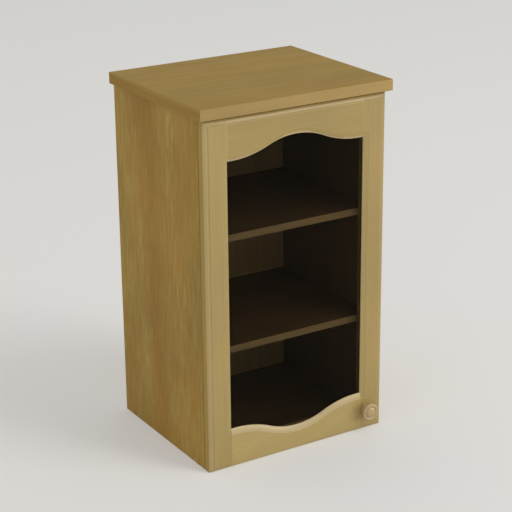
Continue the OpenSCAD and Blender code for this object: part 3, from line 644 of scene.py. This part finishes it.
# A copy of a CAD piece whose sharp edges are eased, as a sander leaves them
def easePiece(node, finish, edge):
    piece = bpy.data.objects.new(pieceName(node), nodes[node].data.copy())
    bpy.context.scene.collection.objects.link(piece)
    pickOnly(piece)
    bpy.ops.mesh.customdata_custom_splitnormals_clear()
    bpy.ops.object.mode_set(mode="EDIT")
    bpy.ops.mesh.select_mode(type="EDGE")
    bpy.ops.mesh.select_all(action="SELECT")
    bpy.ops.mesh.remove_doubles(threshold=easing["merge"])
    bpy.ops.mesh.dissolve_limited(angle_limit=math.radians(easing["flat"]))
    if node in doorStep["pieces"]:
        roundStep(piece)
    bpy.ops.object.mode_set(mode="OBJECT")
    sharp = math.radians(easing["sharp"])
    eased = piece.modifiers.new("easedEdges", "BEVEL")
    eased.width = edge
    eased.segments = easing["rounds"]
    eased.limit_method = "ANGLE"
    eased.angle_limit = sharp
    eased.use_clamp_overlap = True
    bpy.ops.object.modifier_apply(modifier="easedEdges")
    bpy.ops.object.shade_smooth_by_angle(angle=sharp)
    square = piece.modifiers.new("squareNormals", "WEIGHTED_NORMAL")     # flat faces stay flat
    square.keep_sharp = True
    bpy.ops.object.modifier_apply(modifier="squareNormals")
    dress(piece, finish)
    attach(piece, bodyOf[node])
    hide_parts(node)


# CAD node: finish, material slot, edge radius
carcassPieces = {
    "left_side": ("sideVeneer", "side_wood", 0.0006),
    "right_side": ("sideVeneer", "side_wood", 0.0006),
    # the inner panels and shelves take the veneer darkened as painted shade
    "bottom_panel": ("shelfVeneer", "inner_wood", 0.0005),
    "top_panel": ("shelfVeneer", "inner_wood", 0.0005),
    "hanging_rail": ("railBeech", "inner_wood", 0.0005),
    "back_panel": ("hardboard", "back_wood", 0.0002),
    "top_board": ("boardVeneer", "board_wood", 0.0008),
    "lower_shelf": ("shelfVeneer", "shelf_wood", 0.0005),
    "upper_shelf": ("shelfVeneer", "shelf_wood", 0.0005),
    "panel_dowels": ("railBeech", "dowel_wood", 0.0006),
    "rail_dowels": ("railBeech", "dowel_wood", 0.0006),
}

doorPieces = {
    "left_stile": ("stileWood", "stile_wood", 0.0003),
    "right_stile": ("stileWood", "stile_wood", 0.0003),
    "top_rail": ("topRailWood", "rail_wood", 0.0003),
    "bottom_rail": ("lowRailWoodPaintedLight", "rail_wood", 0.0003),
    "left_strip": ("stripWood", "strip_wood", 0.0004),
    "right_strip": ("stripWood", "strip_wood", 0.0004),
    "top_strip": ("crossStripWood", "strip_wood", 0.0004),
    "bottom_strip": ("crossStripWood", "strip_wood", 0.0004),
    "glass_pane": ("tintedGlass", "glass", 0.0006),
    "door_buffers": ("silicone", "pad", 0.0006),
}

fittingPieces = {
    "board_screws": ("platedScrew", "steel", 0.0001),
    "knob_screw": ("platedScrew", "steel", 0.0001),
    "cup_screws": ("platedScrew", "steel", 0.0001),
    "plate_screws": ("platedScrew", "steel", 0.0001),
    "arm_screws": ("platedScrew", "steel", 0.0001),
    "cam_bolts": ("platedScrew", "steel", 0.0002),
    "cam_housings": ("castZinc", "zinc", 0.0002),
    "lower_shelf_pegs": ("nickelSteel", "steel", 0.0003),
    "upper_shelf_pegs": ("nickelSteel", "steel", 0.0003),
    "lower_hinge_cup": ("nickelSteel", "steel", 0.0002),
    "upper_hinge_cup": ("nickelSteel", "steel", 0.0002),
    "lower_hinge_arm": ("nickelSteel", "steel", 0.0002),
    "upper_hinge_arm": ("nickelSteel", "steel", 0.0002),
    "lower_hinge_plate": ("castZinc", "zinc", 0.0003),
    "upper_hinge_plate": ("castZinc", "zinc", 0.0003),
    "lower_outer_link": ("nickelSteel", "steel", 0.0001),
    "upper_outer_link": ("nickelSteel", "steel", 0.0001),
    "lower_inner_link": ("nickelSteel", "steel", 0.0001),
    "upper_inner_link": ("nickelSteel", "steel", 0.0001),
    "arm_pins": ("castZinc", "zinc", 0.0001),
    "cup_pins": ("castZinc", "zinc", 0.0001),
}

pieces = {**carcassPieces, **doorPieces, **fittingPieces}
for node, (finish, slot, edge) in pieces.items():
    easePiece(node, finish, edge)
print("eased pieces made:", len(pieces))


# Faces that look one way get a second finish: lippings and board ends; inner sides and the door's side
# edges darkened as painted shade; mouldings and beads paled as painted highlights

ways = {"front": (0, -1, 0), "left": (-1, 0, 0), "right": (1, 0, 0), "up": (0, 0, 1), "down": (0, 0, -1)}

# How squarely a face has to look that way
squarely = {"flat": 0.75, "moulding": 0.12, "innerBead": 0.25, "lowBead": 0.03, "highBead": 0.4}

# How far below the outermost point it may lie
within = {"piece": 1.0, "moulding": 0.0108, "shadedTop": 0.003, "edge": 0.0012}

facings = [
    ("topBoard", "boardLipping", "front", "flat", "piece"),
    ("topBoard", "boardEnd", "right", "flat", "piece"),
    ("topBoard", "boardEnd", "left", "flat", "piece"),
    ("lowerShelf", "shelfLipping", "front", "flat", "piece"),
    ("upperShelf", "shelfLipping", "front", "flat", "piece"),
    ("topPanel", "shelfLipping", "front", "flat", "piece"),
    ("bottomPanel", "shelfLipping", "front", "flat", "piece"),
    # the inner sides take the veneer darkened as painted shade
    ("leftSide", "insideVeneerPaintedShade", "right", "flat", "piece"),
    ("rightSide", "insideVeneerPaintedShade", "left", "flat", "piece"),
    ("leftSide", "sideLipping", "front", "flat", "piece"),
    ("rightSide", "sideLipping", "front", "flat", "piece"),
    # the stiles' mouldings get painted highlights, their side edges painted shade
    ("leftStile", "stileBead", "left", "moulding", "moulding"),
    ("leftStile", "stileEdge", "left", "flat", "edge"),
    ("rightStile", "stileEdge", "right", "flat", "edge"),
    ("rightStile", "stileBead", "left", "innerBead", "piece"),
    ("leftStile", "stileBead", "up", "moulding", "moulding"),
    ("rightStile", "stileBead", "up", "moulding", "moulding"),
    ("topRail", "topBead", "up", "moulding", "moulding"),
    # the tops of the mouldings in the board's shade keep the plain wood, without the painted highlight
    ("leftStile", "stileWood", "up", "moulding", "shadedTop"),
    ("rightStile", "stileWood", "up", "moulding", "shadedTop"),
    ("topRail", "topRailWood", "up", "moulding", "shadedTop"),
    # painted highlights on the bottom bead and the edge of the arch
    ("bottomRail", "beadWoodPaintedHighlight", "up", "lowBead", "piece"),
    ("topRail", "beadWoodPaintedHighlight", "down", "highBead", "piece"),
]


def refinish(piece, finish, way, limit, depth):
    if finish not in piece.data.materials:
        piece.data.materials.append(finishes[finish])
    place = piece.data.materials.find(finish)
    reach = max(vertex.co.dot(way) for vertex in piece.data.vertices) - depth
    for face in piece.data.polygons:
        if face.normal.dot(way) > limit and face.center.dot(way) > reach:
            face.material_index = place


for name, finish, way, limit, depth in facings:
    refinish(bpy.data.objects[name], finish, Vector(ways[way]), squarely[limit], within[depth])
print("second finishes given:", len(facings))


# The knob is turned about an axis along Y: each ring is (radius, distance from the door front)
turnedKnob = {
    "axis": (0.162, 0.043),
    "sides": 96,
    "smooth": 50,       # degrees
    "rings": [
        (0.0090, 0.0), (0.0090, 0.0022), (0.0086, 0.0029), (0.0079, 0.0033), (0.0074, 0.0040),
        (0.0070, 0.0052), (0.0069, 0.0066), (0.0071, 0.0080), (0.0078, 0.0093), (0.0090, 0.0104),
        (0.0106, 0.0113), (0.0124, 0.0119), (0.0142, 0.0123), (0.0156, 0.0129), (0.0168, 0.0140),
        (0.0176, 0.0154), (0.0180, 0.0170), (0.0177, 0.0185), (0.0169, 0.0198), (0.0157, 0.0207),
        (0.0143, 0.0211), (0.0132, 0.0210), (0.0125, 0.0203), (0.0120, 0.0197), (0.0114, 0.0196),
        (0.0109, 0.0202), (0.0104, 0.0210), (0.0092, 0.0218), (0.0074, 0.0225), (0.0052, 0.0229),
        (0.0028, 0.0231), (0.0008, 0.02315)],
}


def turnKnob(look):
    radius, height = look["rings"][0]
    bpy.ops.object.select_all(action="DESELECT")
    bpy.ops.mesh.primitive_circle_add(vertices=look["sides"], radius=radius, fill_type="NGON",
                                      location=(0, 0, 0))
    knob = bpy.context.object
    knob.name = "turnedKnob"
    bpy.ops.object.mode_set(mode="EDIT")
    bpy.ops.mesh.select_all(action="SELECT")
    for nextRadius, nextHeight in look["rings"][1:]:
        bpy.ops.mesh.extrude_region_move(TRANSFORM_OT_translate={"value": (0, 0, nextHeight - height)})
        size = nextRadius / radius
        bpy.ops.transform.resize(value=(size, size, 1))
        radius, height = nextRadius, nextHeight
    bpy.ops.mesh.select_all(action="SELECT")
    bpy.ops.mesh.normals_make_consistent(inside=False)
    bpy.ops.object.mode_set(mode="OBJECT")
    x, z = look["axis"]
    knob.location = (x, doorFront, z)
    knob.rotation_euler = (math.radians(90), 0, 0)
    bpy.ops.object.transform_apply(location=True, rotation=True, scale=True)
    bpy.ops.object.shade_smooth_by_angle(angle=math.radians(look["smooth"]))
    dress(knob, "knobWood")
    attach(knob, "door")
    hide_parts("knob")


turnKnob(turnedKnob)
print("knob turned")

print("scene finished")
